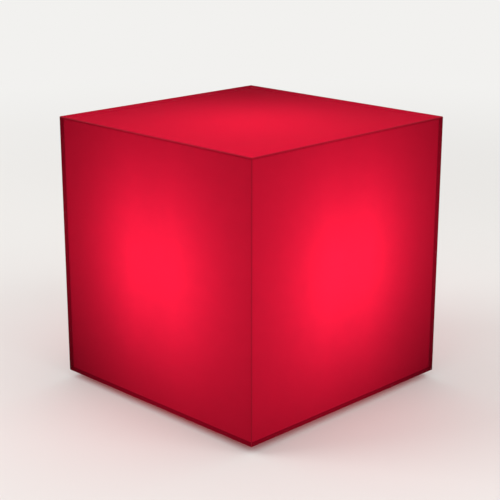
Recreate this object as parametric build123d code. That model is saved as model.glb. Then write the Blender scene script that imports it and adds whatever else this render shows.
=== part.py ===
"""Cube light for a terrace or garden: a closed cube of opal acrylic, glued at mitred edges,
that glows from a sealed light module screwed into its base. Millimetres, +Z up.
The origin is on the ground, under the cube's centre, and the front faces -Y."""
import os
from math import atan2, cos, degrees, hypot, radians, sin, sqrt
from build123d import *

# ---- cube of opal acrylic ------------------------------------------------------------------------
CUBE_SIDE = 300.0
PANEL_THICKNESS = 5.0
ARRIS = 0.8                     # flat polished along each outer edge, measured along a face
BOND_LINE = 0.1                 # cement between two mitres

# ---- feet ----------------------------------------------------------------------------------------
FOOT_HEIGHT = 8.0
FOOT_TOP_DIAMETER = 25.0
FOOT_BOTTOM_DIAMETER = 21.0
FOOT_EDGE_DISTANCE = 38.0       # cube's side to the axis of a foot

# ---- batteries, which set the size of the module -------------------------------------------------
CELL_DIAMETER = 18.4
CELL_LENGTH = 65.2
CELL_NUB_DIAMETER = 6.0
CELL_NUB_HEIGHT = 0.9
CELL_SPACING = 0.8
CELL_PLAY = 0.3
CONTACT_THICKNESS = 0.5
CONTACT_SIZE = 10.0
CONTACT_PLAY = 0.2
HOLDER_END_WALL = 3.0
HOLDER_SIDE_WALL = 1.5
HOLDER_FLOOR = 1.5
HOLDER_OFFSET = 4.0             # centre of the module to the near side of the holder
HOLDER_EAR = 8.0
HOLDER_EAR_SPACING = 44.0
HOLDER_EAR_THICKNESS = 2.5
HOLDER_END_SPARE = 1.0          # end wall of the holder above the contacts
HOLDER_POST_HEIGHT = 4.0
HOLDER_POST_DIAMETER = 7.0

# ---- light module: moulded housing ---------------------------------------------------------------
CUP_ROOM = 2.3                  # corner of the battery holder to the cup's wall
CUP_WALL = 2.5
CUP_HEIGHT = 58.0               # cube's underside to the rim of the cup
CUP_TO_HOLE = 2.0
FLANGE_THICKNESS = 4.0
FLANGE_LAND = 15.0              # edge of the service hole to the rim of the flange
FLANGE_CHAMFER = 1.0
GASKET_THICKNESS = 1.5
GASKET_TO_CUP = 1.0
GASKET_TO_SCREW = 2.5           # the gaskets lie inside their rings of screws
BOSS_DIAMETER = 9.0
BOSS_TO_WALL = 5.5
BOSS_HOLE_DEPTH = 14.0
SCREW_END_ROOM = 1.0            # left below a screw's end in a blind hole
RIB_THICKNESS = 2.5
MODULE_SCREW_COUNT = 4
MODULE_SCREW_ANGLE = 45.0       # the first of them, from +X
COVER_SCREW_COUNT = 4
COVER_SCREW_ANGLE = 90.0
SCREW_DIAMETER = 3.0
SCREW_HEAD_DIAMETER = 5.6
SCREW_HEAD_HEIGHT = 2.0
INNER_HEAD_WIDTH = 5.0
HEX_SOCKET_WIDTH = 2.0
HEX_SOCKET_DEPTH = 1.2
SCREW_HOLE_PLAY = 0.4           # over the screw's diameter, where it passes through
THREAD_PLAY = 0.16              # over the screw's diameter, where it is held
COUNTERBORE_PLAY = 0.8
COUNTERBORE_SPARE = 0.2
BACKING_RING_THICKNESS = 6.0
BACKING_TO_HOLE = 1.0
INSERT_WIDTH = 5.0
THREAD_PROUD = 1.5              # screw end past its insert

# ---- light engine on top of the module -----------------------------------------------------------
SPREADER_THICKNESS = 2.0
PAD_THICKNESS = 0.5
LED_BOARD_THICKNESS = 1.6
LED_BOARD_MARGIN = 7.0          # rim of the board to the screws of the cover
LED_SIZE = 5.0
LED_HEIGHT = 1.6
LED_CORNER = 0.8                # cut off one corner, to mark it
LED_RINGS = ((6, 0.36), (12, 0.78))     # how many, and where as a share of the board's radius
LED_BOARD_SCREW_PLACE = 0.57    # as a share of the board's radius
LED_BOARD_SCREW_COUNT = 3
LED_BOARD_SCREW_ANGLE = 90.0
CABLE_HOLE_DIAMETER = 9.0
GROMMET_WALL = 1.0
GROMMET_LIP = 1.2
COVER_WALL = 2.0
COVER_RISE = 14.0
COVER_FLANGE_THICKNESS = 3.0
COVER_SEAL_THICKNESS = 1.0
COVER_TO_BOARD = 1.0
RECEIVER_WIDTH = 6.0
RECEIVER_DEPTH = 4.0
RECEIVER_HEIGHT = 7.0
RECEIVER_LENS_DIAMETER = 4.4
RECEIVER_ANGLE = 30.0           # from +X, between two of the board's screws

# ---- control board -------------------------------------------------------------------------------
BOARD_LENGTH = 40.0
BOARD_WIDTH = 30.0
BOARD_THICKNESS = 1.6
BOARD_POST_DIAMETER = 6.0
BOARD_POST_HEIGHT = 7.0
BOARD_POST_MARGIN = 4.0
BOARD_OFFSET = 7.0              # centre of the module to the near side of the board
BOARD_SIDE_SHIFT = 14.0         # centre of the module to the centre of the board, towards -X
CONNECTOR_LENGTH = 8.0
CONNECTOR_WIDTH = 5.0
CONNECTOR_HEIGHT = 6.0
CONNECTOR_SHIFT = 5.6           # centre of the board to the connectors on its inner side, along X
BOARD_CHIPS = (                 # length, width, height, and X from the board's centre
    (7.0, 7.0, 1.2, -5.0),      # charge controller
    (5.0, 6.0, 1.6, 4.0),       # light driver
    (7.0, 7.0, 4.0, 13.0),      # coil
)
CAPACITOR_DIAMETER = 6.3
CAPACITOR_HEIGHT = 7.0
CAPACITOR_SHIFT = 14.5          # centre of the board to the capacitor, towards -X
STATUS_LIGHT_LENGTH = 2.0
STATUS_LIGHT_WIDTH = 1.6
STATUS_LIGHT_HEIGHT = 0.8
PIPE_DIAMETER = 3.0
PIPE_HEAD_DIAMETER = 4.4
PIPE_HEAD_HEIGHT = 1.2
PIPE_PLAY = 0.2
PIPE_TO_LIGHT = 0.4

# ---- power button --------------------------------------------------------------------------------
BUTTON_DIAMETER = 12.0
BUTTON_PLAY = 0.3               # all round
BUTTON_FLANGE_WIDTH = 1.5
BUTTON_FLANGE_THICKNESS = 1.2
BUTTON_TRAVEL = 1.2
BUTTON_REST_GAP = 0.1
BUTTON_DIMPLE_DEPTH = 0.6
BUTTON_RIM = 1.4
BUTTON_CHAMFER = 0.5
DISH_DIAMETER = 26.0
DISH_DEPTH = 1.2
SEAL_SECTION = 1.4
SEAL_PLAY = 0.15
SWITCH_SIZE = 6.0
SWITCH_HEIGHT = 3.5
PLUNGER_DIAMETER = 3.4
PLUNGER_IN_SWITCH = 0.9
PLUNGER_PLAY = 0.3
NOSE_MARGIN = 0.3               # nose of the button round the plunger

# ---- charging socket and its cap -----------------------------------------------------------------
JACK_MOUTH_DIAMETER = 5.6
JACK_PIN_DIAMETER = 2.0
JACK_THREAD_DIAMETER = 10.8
JACK_LIP_DIAMETER = 14.0
JACK_LIP_THICKNESS = 1.2
JACK_LENGTH = 15.0
JACK_MOUTH_DEPTH = 9.5
JACK_PIN_SETBACK = 1.0
JACK_HOLE_PLAY = 0.4
JACK_NUT_WIDTH = 14.0
JACK_NUT_HEIGHT = 2.5
JACK_TAG_LENGTH = 3.0
JACK_TAG_WIDTH = 2.4
JACK_TAG_THICKNESS = 0.6
JACK_TO_BOARD = 3.0             # edge of the board to the corner of the nut
CAP_THICKNESS = 1.2
CAP_TO_LIP = 0.3
CAP_OVERLAP = 0.75              # how far the cap reaches past the socket's lip
CAP_RECESS_PLAY = 0.75
CAP_SUNK = 0.1                  # cap's face above the underside of the flange
CAP_HINGE_DISTANCE = 11.0       # socket's axis to the fold of the cap's strap
CAP_STRAP_WIDTH = 6.0
CAP_STRAP_THICKNESS = 0.8
CAP_HINGE_GAP = 0.3
CAP_ANCHOR_LENGTH = 5.0
CAP_RIVET_DIAMETER = 3.0
CAP_RIVET_PLAY = 0.4
CAP_RIVET_HEAD_DIAMETER = 4.6
CAP_RIVET_HEAD_HEIGHT = 1.5
SPIGOT_LENGTH = 1.5
SPIGOT_WALL = 0.9
SPIGOT_PLAY = 0.3
SPIGOT_TAPER = 0.25

# ---- flat leads ----------------------------------------------------------------------------------
LEAD_THICKNESS = 1.4
TWIN_LEAD_WIDTH = 2.8
LIGHT_LEAD_WIDTH = 5.2
LEAD_CLIMB = 13.0               # how far a lead stands up before it turns over
LEAD_BEND_SHARE = 0.9           # radius of a lead's bend, as a share of the room it has
LEAD_TAIL_BEND = 2.2            # where the light's lead turns flat over its board
LEAD_TO_BOARD = 0.2

# ---- levels, from the ground up ------------------------------------------------------------------
CUBE_BOTTOM = FOOT_HEIGHT
CUBE_MIDDLE = CUBE_BOTTOM + CUBE_SIDE / 2
BASE_INSIDE = CUBE_BOTTOM + PANEL_THICKNESS
FLANGE_TOP = CUBE_BOTTOM - GASKET_THICKNESS
FLANGE_BOTTOM = FLANGE_TOP - FLANGE_THICKNESS
CUP_TOP = CUBE_BOTTOM + CUP_HEIGHT
SPREADER_TOP = CUP_TOP + SPREADER_THICKNESS
LED_BOARD_BOTTOM = SPREADER_TOP + PAD_THICKNESS
LED_BOARD_TOP = LED_BOARD_BOTTOM + LED_BOARD_THICKNESS
COVER_FLANGE_BOTTOM = SPREADER_TOP + COVER_SEAL_THICKNESS
COVER_FLANGE_TOP = COVER_FLANGE_BOTTOM + COVER_FLANGE_THICKNESS
BOARD_BOTTOM = FLANGE_TOP + BOARD_POST_HEIGHT
BOARD_TOP = BOARD_BOTTOM + BOARD_THICKNESS
EAR_BOTTOM = FLANGE_TOP + HOLDER_POST_HEIGHT
EAR_TOP = EAR_BOTTOM + HOLDER_EAR_THICKNESS
CELL_AXIS_HEIGHT = FLANGE_TOP + HOLDER_FLOOR + CELL_PLAY + CELL_DIAMETER / 2
HOLDER_END_TOP = CELL_AXIS_HEIGHT + CONTACT_SIZE / 2 + HOLDER_END_SPARE

# ---- plan of the module --------------------------------------------------------------------------
CELL_POCKET = CELL_DIAMETER + 2 * CELL_PLAY
HOLDER_BAY = CELL_LENGTH + CELL_NUB_HEIGHT + 2 * (CONTACT_THICKNESS + CONTACT_PLAY)
HOLDER_LENGTH = HOLDER_BAY + 2 * HOLDER_END_WALL
CELL_PITCH = CELL_POCKET + CELL_SPACING
HOLDER_WIDTH = CELL_PITCH + CELL_POCKET + 2 * HOLDER_SIDE_WALL
HOLDER_Y = HOLDER_OFFSET + HOLDER_WIDTH / 2
CUP_INNER_RADIUS = hypot(HOLDER_LENGTH / 2, HOLDER_OFFSET + HOLDER_WIDTH) + CUP_ROOM
CUP_OUTER_RADIUS = CUP_INNER_RADIUS + CUP_WALL
SERVICE_HOLE_RADIUS = CUP_OUTER_RADIUS + CUP_TO_HOLE
FLANGE_RADIUS = SERVICE_HOLE_RADIUS + FLANGE_LAND
MODULE_SCREW_RADIUS = SERVICE_HOLE_RADIUS + FLANGE_LAND / 2
BOSS_PLACE = CUP_INNER_RADIUS - BOSS_TO_WALL
LED_BOARD_RADIUS = BOSS_PLACE - LED_BOARD_MARGIN
COVER_INNER_RADIUS = LED_BOARD_RADIUS + COVER_TO_BOARD
FOOT_PLACE = CUBE_SIDE / 2 - FOOT_EDGE_DISTANCE
BOARD_X = -BOARD_SIDE_SHIFT
BOARD_Y = -BOARD_OFFSET - BOARD_WIDTH / 2
BUTTON_X = BOARD_X
BUTTON_Y = BOARD_Y
JACK_X = BOARD_X + BOARD_LENGTH / 2 + JACK_TO_BOARD + JACK_NUT_WIDTH / sqrt(3)
JACK_Y = BOARD_Y
CAP_RADIUS = JACK_LIP_DIAMETER / 2 + CAP_OVERLAP
CAP_RECESS_RADIUS = CAP_RADIUS + CAP_RECESS_PLAY
CAP_BOTTOM = FLANGE_BOTTOM + CAP_SUNK
CAP_TOP = CAP_BOTTOM + CAP_THICKNESS
JACK_BOTTOM = CAP_TOP + CAP_TO_LIP
JACK_SEAT = JACK_BOTTOM + JACK_LIP_THICKNESS
JACK_PAD_TOP = JACK_SEAT + FLANGE_THICKNESS
JACK_TOP = JACK_BOTTOM + JACK_LENGTH
HINGE_Y = JACK_Y - CAP_HINGE_DISTANCE
RIVET_Y = HINGE_Y - (CAP_HINGE_GAP + CAP_ANCHOR_LENGTH) / 2
PIPE_X = BOARD_X + BOARD_LENGTH / 2 - PIPE_HEAD_DIAMETER
SWITCH_BOTTOM = BOARD_BOTTOM - SWITCH_HEIGHT
PLUNGER_BOTTOM = SWITCH_BOTTOM - BUTTON_TRAVEL - PLUNGER_PLAY
BUTTON_FLANGE_BOTTOM = FLANGE_TOP + BUTTON_REST_GAP
BUTTON_FLANGE_TOP = BUTTON_FLANGE_BOTTOM + BUTTON_FLANGE_THICKNESS
SEAL_LEVEL = FLANGE_TOP - SEAL_SECTION
CONNECTOR_TOP = BOARD_TOP + CONNECTOR_HEIGHT
CONNECTOR_ROW = BOARD_WIDTH / 2 - CONNECTOR_WIDTH
LIGHT_CONNECTOR = (BOARD_X - CONNECTOR_SHIFT, BOARD_Y + CONNECTOR_ROW)
JACK_CONNECTOR = (BOARD_X + CONNECTOR_SHIFT, BOARD_Y + CONNECTOR_ROW)
BATTERY_CONNECTOR = (BOARD_X - CONNECTOR_LENGTH, BOARD_Y - CONNECTOR_ROW)
BATTERY_TAB = (-(HOLDER_BAY + HOLDER_END_WALL) / 2, HOLDER_OFFSET + CELL_POCKET / 2)

LOW = (Align.CENTER, Align.CENTER, Align.MIN)


# ---- plain shapes --------------------------------------------------------------------------------
def disc(diameter, bottom, top, x=0.0, y=0.0):
    """Upright cylinder between two levels."""
    return Pos(x, y, bottom) * Cylinder(diameter / 2, top - bottom, align=LOW)


def ring(outer_diameter, inner_diameter, bottom, top, x=0.0, y=0.0):
    """Upright flat ring between two levels."""
    return disc(outer_diameter, bottom, top, x, y) - disc(inner_diameter, bottom, top, x, y)


def block(length, width, bottom, top, x=0.0, y=0.0):
    """Upright block between two levels."""
    return Pos(x, y, bottom) * Box(length, width, top - bottom, align=LOW)


def hexagon(width, bottom, top, x=0.0, y=0.0):
    """Upright hexagonal prism, measured across its flats."""
    outline = Pos(x, y, bottom) * RegularPolygon(width / sqrt(3), 6)
    return extrude(outline, top - bottom)


def turned(points):
    """Solid turned about Z from a closed outline of (radius, height) points."""
    outline = Plane.XZ * make_face(Polyline(points, close=True))
    return revolve(outline, Axis.Z)


def around(count, radius, first=0.0):
    """Places spread evenly on a circle, from an angle in degrees."""
    angles = [radians(first + 360.0 * n / count) for n in range(count)]
    return [(radius * cos(a), radius * sin(a)) for a in angles]


def four_corners(half_x, half_y, x=0.0, y=0.0):
    """The corners of a rectangle about a point."""
    return [(x + i * half_x, y + j * half_y) for i in (-1, 1) for j in (-1, 1)]


def group(solids):
    """Separate solids in one sub-part."""
    return Compound(children=list(solids))


def screw(diameter, length, head_diameter, head_height):
    """Cylinder-head screw with a hexagon socket: its head stands below z = 0, its shank above."""
    body = disc(head_diameter, -head_height, 0) + disc(diameter, 0, length)
    return body - hexagon(HEX_SOCKET_WIDTH, -head_height, HEX_SOCKET_DEPTH - head_height)


def screw_from_above(length):
    """One of the module's inner screws, its hexagon head standing above z = 0."""
    return hexagon(INNER_HEAD_WIDTH, 0, SCREW_HEAD_HEIGHT) + disc(SCREW_DIAMETER, -length, 0)


def nut(width, height, thread, bottom, x, y):
    """Hexagon nut on a level."""
    top = bottom + height
    return hexagon(width, bottom, top, x, y) - disc(thread + THREAD_PLAY, bottom, top, x, y)


# ---- cube ----------------------------------------------------------------------------------------
def mitred_panel():
    """One panel lying with its outer face up at z = 0, its arrises above its mitres."""
    mitre_setback = BOND_LINE / 2 * sqrt(2)
    widest = CUBE_SIDE - ARRIS - 2 * mitre_setback
    rim = Pos(0, 0, -ARRIS / 2) * Rectangle(widest, widest)
    arris = extrude(rim, ARRIS / 2, taper=45)
    mitre = extrude(rim, PANEL_THICKNESS - ARRIS / 2, dir=(0, 0, -1), taper=45)
    return arris + mitre


def panel_facing(normal, across):
    """A panel on the side of the cube that faces along normal."""
    middle = Vector(0, 0, CUBE_MIDDLE) + Vector(*normal) * (CUBE_SIDE / 2)
    side = Plane(origin=middle, x_dir=across, z_dir=normal)
    return side.location * mitred_panel()


def module_screw_places():
    """Places of the screws that hold the module in the base."""
    return around(MODULE_SCREW_COUNT, MODULE_SCREW_RADIUS, MODULE_SCREW_ANGLE)


def base_panel():
    """The bottom panel, with the service hole and its screw holes."""
    panel = panel_facing((0, 0, -1), (1, 0, 0))
    panel -= disc(2 * SERVICE_HOLE_RADIUS, CUBE_BOTTOM, BASE_INSIDE)
    for x, y in module_screw_places():
        panel -= disc(SCREW_DIAMETER + SCREW_HOLE_PLAY, CUBE_BOTTOM, BASE_INSIDE, x, y)
    return panel


# ---- feet ----------------------------------------------------------------------------------------
def rubber_feet():
    """Four tapered feet bonded to the base panel."""
    bottom = FOOT_BOTTOM_DIAMETER / 2
    top = FOOT_TOP_DIAMETER / 2
    foot = turned([(0, 0), (bottom, 0), (top, FOOT_HEIGHT), (0, FOOT_HEIGHT)])
    return group(Pos(x, y, 0) * foot for x, y in four_corners(FOOT_PLACE, FOOT_PLACE))


# ---- housing of the light module -----------------------------------------------------------------
def housing_shell():
    """Cup and flange in one turned wall."""
    return turned([
        (0, FLANGE_BOTTOM), (FLANGE_RADIUS - FLANGE_CHAMFER, FLANGE_BOTTOM),
        (FLANGE_RADIUS, FLANGE_BOTTOM + FLANGE_CHAMFER), (FLANGE_RADIUS, FLANGE_TOP),
        (CUP_OUTER_RADIUS, FLANGE_TOP), (CUP_OUTER_RADIUS, CUP_TOP), (CUP_INNER_RADIUS, CUP_TOP),
        (CUP_INNER_RADIUS, FLANGE_TOP), (0, FLANGE_TOP),
    ])


def boss_places():
    """Places of the bosses under the rim, one of them on +Y."""
    return around(COVER_SCREW_COUNT, BOSS_PLACE, COVER_SCREW_ANGLE)


def housing_bosses():
    """Bosses for the screws of the cover, each tied to the wall by a rib."""
    bosses = []
    tie_length = BOSS_TO_WALL + CUP_WALL / 2
    for x, y in boss_places():
        turn = degrees(atan2(y, x))
        tie = Pos(tie_length / 2 + BOSS_PLACE, 0, FLANGE_TOP)
        tie *= Box(tie_length, RIB_THICKNESS, CUP_HEIGHT + GASKET_THICKNESS, align=LOW)
        bosses += [disc(BOSS_DIAMETER, FLANGE_TOP, CUP_TOP, x, y), Rot(0, 0, turn) * tie]
    return bosses


def housing_posts():
    """Posts on the floor for the control board and the battery holder."""
    posts = [
        disc(BOARD_POST_DIAMETER, FLANGE_TOP, BOARD_BOTTOM, x, y)
        for x, y in board_post_places()
    ]
    posts += [
        disc(HOLDER_POST_DIAMETER, FLANGE_TOP, EAR_BOTTOM, x, y)
        for x, y in holder_screw_places()
    ]
    pad_diameter = 2 * (CAP_RECESS_RADIUS + CUP_WALL)
    posts.append(disc(pad_diameter, FLANGE_TOP, JACK_PAD_TOP, JACK_X, JACK_Y))
    return posts


def finger_dish():
    """Ball-shaped hollow round the power button."""
    radius = (DISH_DIAMETER ** 2 / 4 + DISH_DEPTH ** 2) / (2 * DISH_DEPTH)
    return Pos(BUTTON_X, BUTTON_Y, FLANGE_BOTTOM + DISH_DEPTH - radius) * Sphere(radius)


def cap_recess():
    """Recess of the charging socket's lip, cap and strap in the underside of the flange."""
    strap_end = CAP_HINGE_DISTANCE + CAP_ANCHOR_LENGTH + CAP_RECESS_PLAY
    width = CAP_STRAP_WIDTH + 2 * CAP_RECESS_PLAY
    slot_top = CAP_BOTTOM + CAP_STRAP_THICKNESS
    slot = block(width, strap_end, FLANGE_BOTTOM, slot_top, JACK_X, JACK_Y - strap_end / 2)
    return slot + disc(2 * CAP_RECESS_RADIUS, FLANGE_BOTTOM, JACK_SEAT, JACK_X, JACK_Y)


def module_housing():
    """Moulded housing: cup, flange, bosses, posts, finger dish and the recess of the cap."""
    housing = housing_shell()
    for solid in housing_bosses() + housing_posts():
        housing += solid
    housing -= finger_dish()
    housing -= cap_recess()
    guide = BUTTON_DIAMETER + 2 * BUTTON_PLAY
    housing -= disc(guide, FLANGE_BOTTOM, FLANGE_TOP, BUTTON_X, BUTTON_Y)
    groove = BUTTON_DIAMETER + 2 * (SEAL_SECTION + 2 * SEAL_PLAY)
    groove_half = SEAL_SECTION / 2 + SEAL_PLAY
    housing -= disc(groove, SEAL_LEVEL - groove_half, SEAL_LEVEL + groove_half, BUTTON_X, BUTTON_Y)
    housing -= disc(PIPE_DIAMETER + 2 * PIPE_PLAY, FLANGE_BOTTOM, FLANGE_TOP, PIPE_X, BOARD_Y)
    housing -= disc(JACK_THREAD_DIAMETER + JACK_HOLE_PLAY, JACK_SEAT, JACK_PAD_TOP, JACK_X, JACK_Y)
    housing -= disc(CAP_RIVET_DIAMETER + CAP_RIVET_PLAY, FLANGE_BOTTOM, FLANGE_TOP, JACK_X, RIVET_Y)
    for x, y in boss_places():
        housing -= disc(SCREW_DIAMETER + THREAD_PLAY, CUP_TOP - BOSS_HOLE_DEPTH, CUP_TOP, x, y)
    counterbore = SCREW_HEAD_DIAMETER + COUNTERBORE_PLAY
    counterbore_top = FLANGE_BOTTOM + SCREW_HEAD_HEIGHT + COUNTERBORE_SPARE
    for x, y in module_screw_places():
        housing -= disc(SCREW_DIAMETER + SCREW_HOLE_PLAY, FLANGE_BOTTOM, FLANGE_TOP, x, y)
        housing -= disc(counterbore, FLANGE_BOTTOM, counterbore_top, x, y)
    for x, y in board_screw_places():
        housing -= disc(SCREW_DIAMETER + THREAD_PLAY, FLANGE_TOP, BOARD_BOTTOM, x, y)
    for x, y in holder_screw_places():
        housing -= disc(SCREW_DIAMETER + THREAD_PLAY, FLANGE_TOP, EAR_BOTTOM, x, y)
    return housing


def fixing_of_the_module():
    """Gasket, backing ring, threaded inserts and screws that hold the module in the base."""
    places = module_screw_places()
    gasket_radius = MODULE_SCREW_RADIUS - GASKET_TO_SCREW
    gasket = ring(2 * gasket_radius, 2 * (CUP_OUTER_RADIUS + GASKET_TO_CUP), FLANGE_TOP, CUBE_BOTTOM)
    backing_top = BASE_INSIDE + BACKING_RING_THICKNESS
    backing_bore = 2 * (SERVICE_HOLE_RADIUS + BACKING_TO_HOLE)
    backing = ring(2 * FLANGE_RADIUS, backing_bore, BASE_INSIDE, backing_top)
    head_bottom = FLANGE_BOTTOM + COUNTERBORE_SPARE
    seat = head_bottom + SCREW_HEAD_HEIGHT
    length = backing_top + THREAD_PROUD - seat
    one_screw = screw(SCREW_DIAMETER, length, SCREW_HEAD_DIAMETER, SCREW_HEAD_HEIGHT)
    inserts = []
    for x, y in places:
        backing -= hexagon(INSERT_WIDTH + THREAD_PLAY, BASE_INSIDE, backing_top, x, y)
        inserts.append(nut(INSERT_WIDTH, BACKING_RING_THICKNESS, SCREW_DIAMETER, BASE_INSIDE, x, y))
    return {
        "module_gasket": gasket,
        "backing_ring": backing,
        "threaded_inserts": group(inserts),
        "module_screws": group(Pos(x, y, seat) * one_screw for x, y in places),
    }


# ---- light engine --------------------------------------------------------------------------------
def heat_spreader():
    """Aluminium disc on the rim of the cup, which carries the light board."""
    spreader = disc(2 * CUP_OUTER_RADIUS, CUP_TOP, SPREADER_TOP)
    spreader -= disc(CABLE_HOLE_DIAMETER, CUP_TOP, SPREADER_TOP)
    for x, y in boss_places():
        spreader -= disc(SCREW_DIAMETER + SCREW_HOLE_PLAY, CUP_TOP, SPREADER_TOP, x, y)
    for x, y in led_board_screw_places():
        spreader -= disc(SCREW_DIAMETER + THREAD_PLAY, CUP_TOP, SPREADER_TOP, x, y)
    return spreader


def led_board_screw_places():
    """Three screws between the two rings of lights."""
    return around(
        LED_BOARD_SCREW_COUNT, LED_BOARD_RADIUS * LED_BOARD_SCREW_PLACE, LED_BOARD_SCREW_ANGLE)


def thermal_pad():
    """Soft sheet under the light board, inside its ring of screws."""
    radius = LED_BOARD_RADIUS * LED_BOARD_SCREW_PLACE - SCREW_DIAMETER
    return ring(2 * radius, CABLE_HOLE_DIAMETER, SPREADER_TOP, LED_BOARD_BOTTOM)


def light_board():
    """Round board of the lights, with a hole for the cable and its screw holes."""
    board = ring(2 * LED_BOARD_RADIUS, CABLE_HOLE_DIAMETER, LED_BOARD_BOTTOM, LED_BOARD_TOP)
    for x, y in led_board_screw_places():
        board -= disc(SCREW_DIAMETER + SCREW_HOLE_PLAY, LED_BOARD_BOTTOM, LED_BOARD_TOP, x, y)
    return board


def led_packages():
    """Square light packages in two rings, one corner cut off each to mark it."""
    package = block(LED_SIZE, LED_SIZE, 0, LED_HEIGHT)
    corner = package.edges().filter_by(Axis.Z).sort_by(Axis.X)[-1]
    package = chamfer(corner, LED_CORNER)
    lights = []
    for count, share in LED_RINGS:
        for n in range(count):
            outward = Pos(LED_BOARD_RADIUS * share, 0, LED_BOARD_TOP)
            lights.append(Rot(0, 0, 360.0 * n / count) * outward * package)
    return group(lights)


def infrared_receiver():
    """Remote-control eye on the light board: a small case with a round lens on its outer side."""
    place = Rot(0, 0, RECEIVER_ANGLE) * Pos(LED_BOARD_RADIUS * LED_BOARD_SCREW_PLACE, 0, LED_BOARD_TOP)
    case = Box(RECEIVER_DEPTH, RECEIVER_WIDTH, RECEIVER_HEIGHT, align=LOW)
    lens = Cylinder(RECEIVER_LENS_DIAMETER / 2, RECEIVER_DEPTH / 2, rotation=(0, 90, 0))
    return place * (case + Pos(RECEIVER_DEPTH / 2, 0, RECEIVER_HEIGHT / 2) * lens)


def light_cover():
    """Clear drum over the lights, on a screwed flange."""
    drum_radius = COVER_INNER_RADIUS + COVER_WALL
    top = COVER_FLANGE_TOP + COVER_RISE
    cover = turned([
        (0, top), (drum_radius, top), (drum_radius, COVER_FLANGE_TOP),
        (CUP_OUTER_RADIUS, COVER_FLANGE_TOP), (CUP_OUTER_RADIUS, COVER_FLANGE_BOTTOM),
        (COVER_INNER_RADIUS, COVER_FLANGE_BOTTOM), (COVER_INNER_RADIUS, top - COVER_WALL),
        (0, top - COVER_WALL),
    ])
    for x, y in boss_places():
        cover -= disc(SCREW_DIAMETER + SCREW_HOLE_PLAY, COVER_FLANGE_BOTTOM, COVER_FLANGE_TOP, x, y)
    return cover


def cover_seal():
    """Flat seal between the cover's flange and the heat spreader, inside the screws."""
    outer = 2 * (BOSS_PLACE - GASKET_TO_SCREW)
    return ring(outer, 2 * COVER_INNER_RADIUS, SPREADER_TOP, COVER_FLANGE_BOTTOM)


def cable_grommet():
    """Sleeve in the heat spreader's hole, with a lip below."""
    outer = CABLE_HOLE_DIAMETER
    inner = CABLE_HOLE_DIAMETER - 2 * GROMMET_WALL
    sleeve = ring(outer, inner, CUP_TOP, SPREADER_TOP)
    return sleeve + ring(outer + 2 * GROMMET_LIP, inner, CUP_TOP - GROMMET_LIP, CUP_TOP)


def light_engine():
    """Every sub-part on top of the housing's rim."""
    cover_screw = screw_from_above(COVER_FLANGE_TOP - CUP_TOP + BOSS_HOLE_DEPTH - SCREW_END_ROOM)
    board_screw = screw_from_above(LED_BOARD_TOP - CUP_TOP)
    return {
        "heat_spreader": heat_spreader(),
        "thermal_pad": thermal_pad(),
        "light_board": light_board(),
        "led_packages": led_packages(),
        "infrared_receiver": infrared_receiver(),
        "light_board_screws": group(
            Pos(x, y, LED_BOARD_TOP) * board_screw for x, y in led_board_screw_places()),
        "light_cover": light_cover(),
        "cover_seal": cover_seal(),
        "cover_screws": group(Pos(x, y, COVER_FLANGE_TOP) * cover_screw for x, y in boss_places()),
        "cable_grommet": cable_grommet(),
    }


# ---- batteries -----------------------------------------------------------------------------------
def cell_rows():
    """Y of the axis of each cell."""
    return [HOLDER_Y - CELL_PITCH / 2, HOLDER_Y + CELL_PITCH / 2]


def holder_screw_places():
    """The two ears on the holder's near side."""
    y = HOLDER_OFFSET - HOLDER_EAR / 2
    return [(-HOLDER_EAR_SPACING / 2, y), (HOLDER_EAR_SPACING / 2, y)]


def battery_holder():
    """Cradle with a trough for each cell, taller end walls and two screw ears."""
    trough_top = CELL_AXIS_HEIGHT
    holder = block(HOLDER_LENGTH, HOLDER_WIDTH, FLANGE_TOP, trough_top, 0, HOLDER_Y)
    for side in (-1, 1):
        wall_x = side * (HOLDER_LENGTH - HOLDER_END_WALL) / 2
        holder += block(HOLDER_END_WALL, HOLDER_WIDTH, FLANGE_TOP, HOLDER_END_TOP, wall_x, HOLDER_Y)
    for y in cell_rows():
        trough = Cylinder(CELL_POCKET / 2, HOLDER_BAY, rotation=(0, 90, 0))
        holder -= Pos(0, y, CELL_AXIS_HEIGHT) * trough
    for x, y in holder_screw_places():
        reach = HOLDER_EAR + HOLDER_SIDE_WALL
        middle = HOLDER_OFFSET + HOLDER_SIDE_WALL - reach / 2
        holder += block(HOLDER_EAR, reach, EAR_BOTTOM, EAR_TOP, x, middle)
        holder -= disc(SCREW_DIAMETER + SCREW_HOLE_PLAY, EAR_BOTTOM, EAR_TOP, x, y)
    return holder


def battery_cell(y):
    """A round cell lying along X, its raised end on +X."""
    can_start = -HOLDER_BAY / 2 + CONTACT_THICKNESS + CONTACT_PLAY
    can = Cylinder(CELL_DIAMETER / 2, CELL_LENGTH, align=LOW)
    nub = Pos(0, 0, CELL_LENGTH) * Cylinder(CELL_NUB_DIAMETER / 2, CELL_NUB_HEIGHT, align=LOW)
    return Pos(can_start, y, CELL_AXIS_HEIGHT) * Rot(0, 90, 0) * (can + nub)


def battery_contacts():
    """A plate at each end of each cell, standing against the holder's end walls."""
    plates = []
    for y in cell_rows():
        for side in (-1, 1):
            x = side * (HOLDER_BAY - CONTACT_THICKNESS) / 2
            plate = Box(CONTACT_THICKNESS, CONTACT_SIZE, CONTACT_SIZE)
            plates.append(Pos(x, y, CELL_AXIS_HEIGHT) * plate)
    return group(plates)


def batteries():
    """Every sub-part of the battery pack."""
    holder_screw = screw_from_above(HOLDER_EAR_THICKNESS + HOLDER_POST_HEIGHT - SCREW_END_ROOM)
    return {
        "battery_holder": battery_holder(),
        "battery_cells": group(battery_cell(y) for y in cell_rows()),
        "battery_contacts": battery_contacts(),
        "holder_screws": group(Pos(x, y, EAR_TOP) * holder_screw for x, y in holder_screw_places()),
    }


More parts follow.
